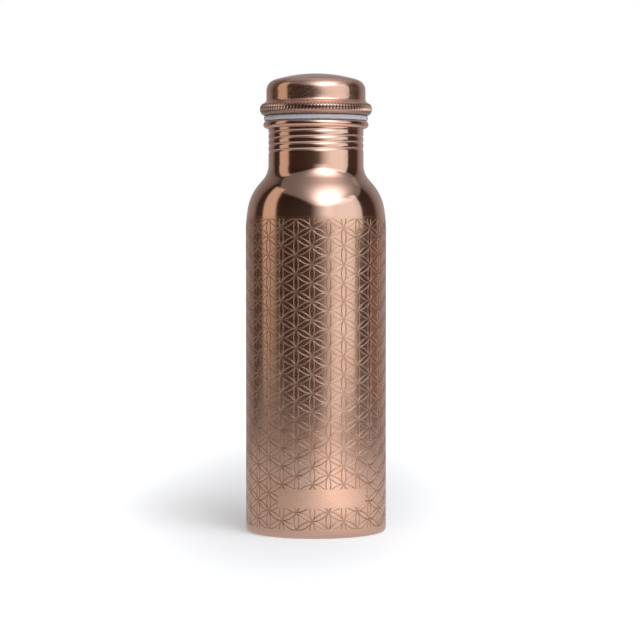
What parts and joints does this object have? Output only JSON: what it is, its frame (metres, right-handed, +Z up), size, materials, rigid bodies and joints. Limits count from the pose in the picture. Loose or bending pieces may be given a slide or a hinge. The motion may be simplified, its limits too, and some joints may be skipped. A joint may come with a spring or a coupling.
{
  "type": "copper water bottle",
  "caption": "Slim straight-sided copper water bottle with rounded shoulders, a rolled-thread neck and a domed screw stopper on a soft gasket.",
  "frame": {"origin": "centre of the foot, on the surface the bottle stands on", "axes": "+Z up along the bottle's axis; -Y is the front, with the blank panel in the engraving; the thread is right-handed"},
  "size_m": [0.07, 0.07, 0.2283],
  "materials": {
    "engraved_copper": "satin polished copper, the barrel etched with a fine pattern of crossing circles",
    "cap_copper": "satin polished copper",
    "plain_copper": "plain drawn copper, a little duller",
    "white_silicone": "soft translucent white silicone"
  },
  "bodies": {
    "bottle": {"bottle_body": "engraved_copper", "base_disc": "plain_copper"},
    "seal": {"cap_gasket": "white_silicone"},
    "cap": {"cap_shell": "cap_copper", "cap_plug": "plain_copper"}
  },
  "joints": [
    {"name": "cap_lift", "type": "slide", "parent": "bottle", "child": "seal", "axis": [0, 0, 1], "range_m": [0, 0.0187]},
    {"name": "cap_turn", "type": "hinge", "parent": "seal", "child": "cap", "pos_m": [0, 0, 0.2], "axis": [0, 0, 1], "range_deg": [0, 2160]}
  ],
  "couplings": [
    {"joint": "cap_lift", "follows": "cap_turn", "m_per_rad": 0.00049338}
  ]
}
